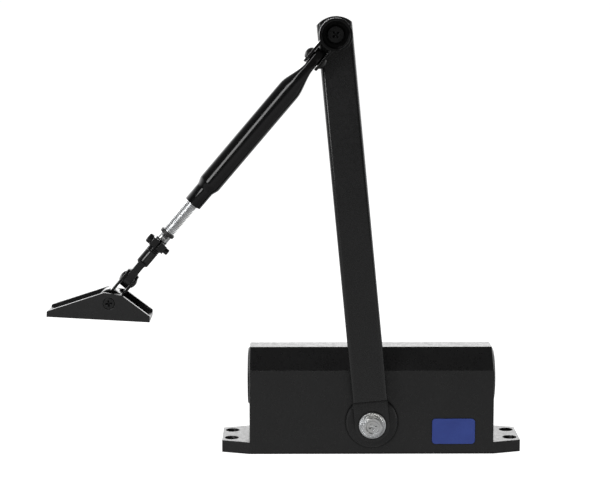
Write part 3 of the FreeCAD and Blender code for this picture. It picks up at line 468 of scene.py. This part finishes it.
def arm_washer():
    """The screw's flange washer, with a ring of pressed teeth round its face."""
    low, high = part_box("arm_washer")
    centre = (Vector(low) + Vector(high)) / 2
    thick = high[1] - low[1]
    place = Matrix(((1, 0, 0, centre.x), (0, 0, -1, high[1]), (0, 1, 0, centre.z), (0, 0, 0, 1)))
    outer = (high[0] - low[0]) / 2
    bore = 3.2 * MM
    sunk = thick - 0.3 * MM
    teeth = 36
    sides_per_tooth = 4
    tooth_height = 0.25 * MM
    # radius, height and whether the teeth stand there, round the washer's section
    profile = (
        (bore, 0, 0),
        (bore, thick, 0),
        (6.0 * MM, thick, 0),
        (6.15 * MM, sunk, 1),
        (6.95 * MM, sunk, 1),
        (7.1 * MM, thick, 0),
        (outer - 0.35 * MM, thick, 0),
        (outer, thick - 0.35 * MM, 0),
        (outer, 0.15 * MM, 0),
        (outer - 0.15 * MM, 0, 0),
    )
    rings = []
    for radius, height, toothed in profile:
        ring = []
        for number, turn in enumerate(angles(teeth * sides_per_tooth)):
            tooth = tooth_height * toothed * (number % sides_per_tooth in (0, 1))
            ring.append(Vector((radius * math.cos(turn), radius * math.sin(turn), height + tooth)))
        rings.append(ring)
    mesh = lofted("arm_washer_toothed", rings, place, closed=True)
    add_piece("arm_washer_toothed", mesh, "arm_group", "zinc_steel", "arm_washer")


# How far the edges of the parts that are seen from near are rounded, in millimetres
EDGE_ROUNDS = {
    "body_casting": 0.35, "main_arm": 0.35, "clamp_collar": 0.3, "foot_bracket": 0.35,
    "elbow_knuckle": 0.35, "foot_knuckle": 0.35,
}


forearm_tube()
adjusting_rod()
arm_washer()
for node, width in EDGE_ROUNDS.items():
    softened(node, width * MM)


# Camera, floor and lights

SENSOR = 36.0
FRAME_WIDTH = 610
FOCAL_PIXELS = 1808.4
CAMERA_AT = Vector((-0.0475, -1.05, 0.2708))
CAMERA_TILT = math.radians(8.292)
CAMERA_TURN = math.radians(0.479)
FLOOR_RADIUS = 90


def camera():
    """The camera looks at the arm side, a little from above."""
    data = bpy.data.cameras.new("camera")
    data.sensor_width = SENSOR
    data.lens = SENSOR * FOCAL_PIXELS / FRAME_WIDTH
    data.clip_start = 0.05
    data.clip_end = 200
    eye = bpy.data.objects.new("camera", data)
    bpy.context.scene.collection.objects.link(eye)
    eye.location = CAMERA_AT
    eye.rotation_euler = (math.radians(90) - CAMERA_TILT, 0, -CAMERA_TURN)
    bpy.context.scene.camera = eye


def soft_box(name, place, target, size, radiance, glossy=True):
    """A soft box aimed at a point, of a given brightness."""
    data = bpy.data.lights.new(name, "AREA")
    data.shape = "RECTANGLE"
    data.size, data.size_y = size
    data.energy = radiance * math.pi * size[0] * size[1]
    lamp = bpy.data.objects.new(name, data)
    bpy.context.scene.collection.objects.link(lamp)
    lamp.location = place
    lamp.rotation_euler = (Vector(target) - Vector(place)).to_track_quat("-Z", "Y").to_euler()
    lamp.visible_glossy = glossy
    lamp.visible_camera = False


def floor():
    """A wide pale floor that the closer stands on, lit from below like a light table."""
    work = bmesh.new()
    bmesh.ops.create_circle(work, cap_ends=True, segments=96, radius=FLOOR_RADIUS)
    mesh = as_mesh("floor", work)
    ground = bpy.data.objects.new("floor", mesh)
    bpy.context.scene.collection.objects.link(ground)
    ground.location.z = -0.02 * MM
    ground.visible_glossy = False
    material, tree, shader = new_material("floor_paper")
    tree.links.new(mixed(tree, spread(tree, noise(tree, 3, 2), 0, 1), (0.36, 0.36, 0.36),
                         (0.40, 0.40, 0.40)), shader.inputs["Base Color"])
    shader.inputs["Roughness"].default_value = 1.0
    shader.inputs["Specular IOR Level"].default_value = 0.0
    shader.inputs["Emission Color"].default_value = (1, 1, 1, 1)
    shader.inputs["Emission Strength"].default_value = 0.88
    mesh.materials.append(material)


def ramp(tree, source, *stops):
    """A smooth run of brightness over a signal, from (place, brightness) stops."""
    node = tree.nodes.new("ShaderNodeValToRGB")
    node.color_ramp.interpolation = "EASE"
    elements = node.color_ramp.elements
    while len(elements) < len(stops):
        elements.new(0.5)
    for element, (place, level) in zip(elements, stops):
        element.position = place
        element.color = (level, level, level, 1)
    tree.links.new(source, node.inputs["Fac"])
    return node.outputs["Color"]


def world():
    """A white studio; what the gloss sees is dark overhead and behind the camera."""
    room = bpy.data.worlds.new("studio")
    bpy.context.scene.world = room
    room.use_nodes = True
    tree = room.node_tree
    tree.nodes.clear()
    out = tree.nodes.new("ShaderNodeOutputWorld")
    coords = tree.nodes.new("ShaderNodeTexCoord")
    split = tree.nodes.new("ShaderNodeSeparateXYZ")
    tree.links.new(coords.outputs["Generated"], split.inputs["Vector"])
    height = spread(tree, split.outputs["Z"], 0.0, 1.0, -1.0, 1.0)
    behind = ramp(tree, height, (0.0, 0.1), (0.44, 0.3), (0.54, 1.0), (0.64, 1.0), (0.78, 0.12),
                  (1.0, 0.02))
    before = ramp(tree, height, (0.0, 0.1), (0.375, 0.185), (0.48, 0.025), (0.6, 0.02), (0.85, 0.02),
                  (1.0, 0.02))
    side = spread(tree, split.outputs["Y"], 0.0, 1.0, -0.35, 0.45)
    gloss = mixed(tree, side, before, behind)
    seen = tree.nodes.new("ShaderNodeBackground")
    seen.inputs["Color"].default_value = (0.98, 0.98, 0.98, 1)
    light = tree.nodes.new("ShaderNodeBackground")
    light.inputs["Strength"].default_value = 3.0
    tree.links.new(gloss, light.inputs["Color"])
    path = tree.nodes.new("ShaderNodeLightPath")
    mix = tree.nodes.new("ShaderNodeMixShader")
    tree.links.new(path.outputs["Is Camera Ray"], mix.inputs["Fac"])
    tree.links.new(light.outputs["Background"], mix.inputs[1])
    tree.links.new(seen.outputs["Background"], mix.inputs[2])
    tree.links.new(mix.outputs["Shader"], out.inputs["Surface"])


camera()
floor()
world()
soft_box("key", (-0.62, -0.95, 0.62), (-0.08, 0, 0.15), (0.3, 0.9), 9.0)
soft_box("glint", (-0.35, -1.2, 1.15), (-0.08, 0, 0.12), (0.3, 0.3), 12.0)
soft_box("overhead", (0.0, -0.3, 1.8), (0, 0, 0), (2.4, 2.4), 1.6, glossy=False)
bpy.context.scene.view_settings.view_transform = "Standard"
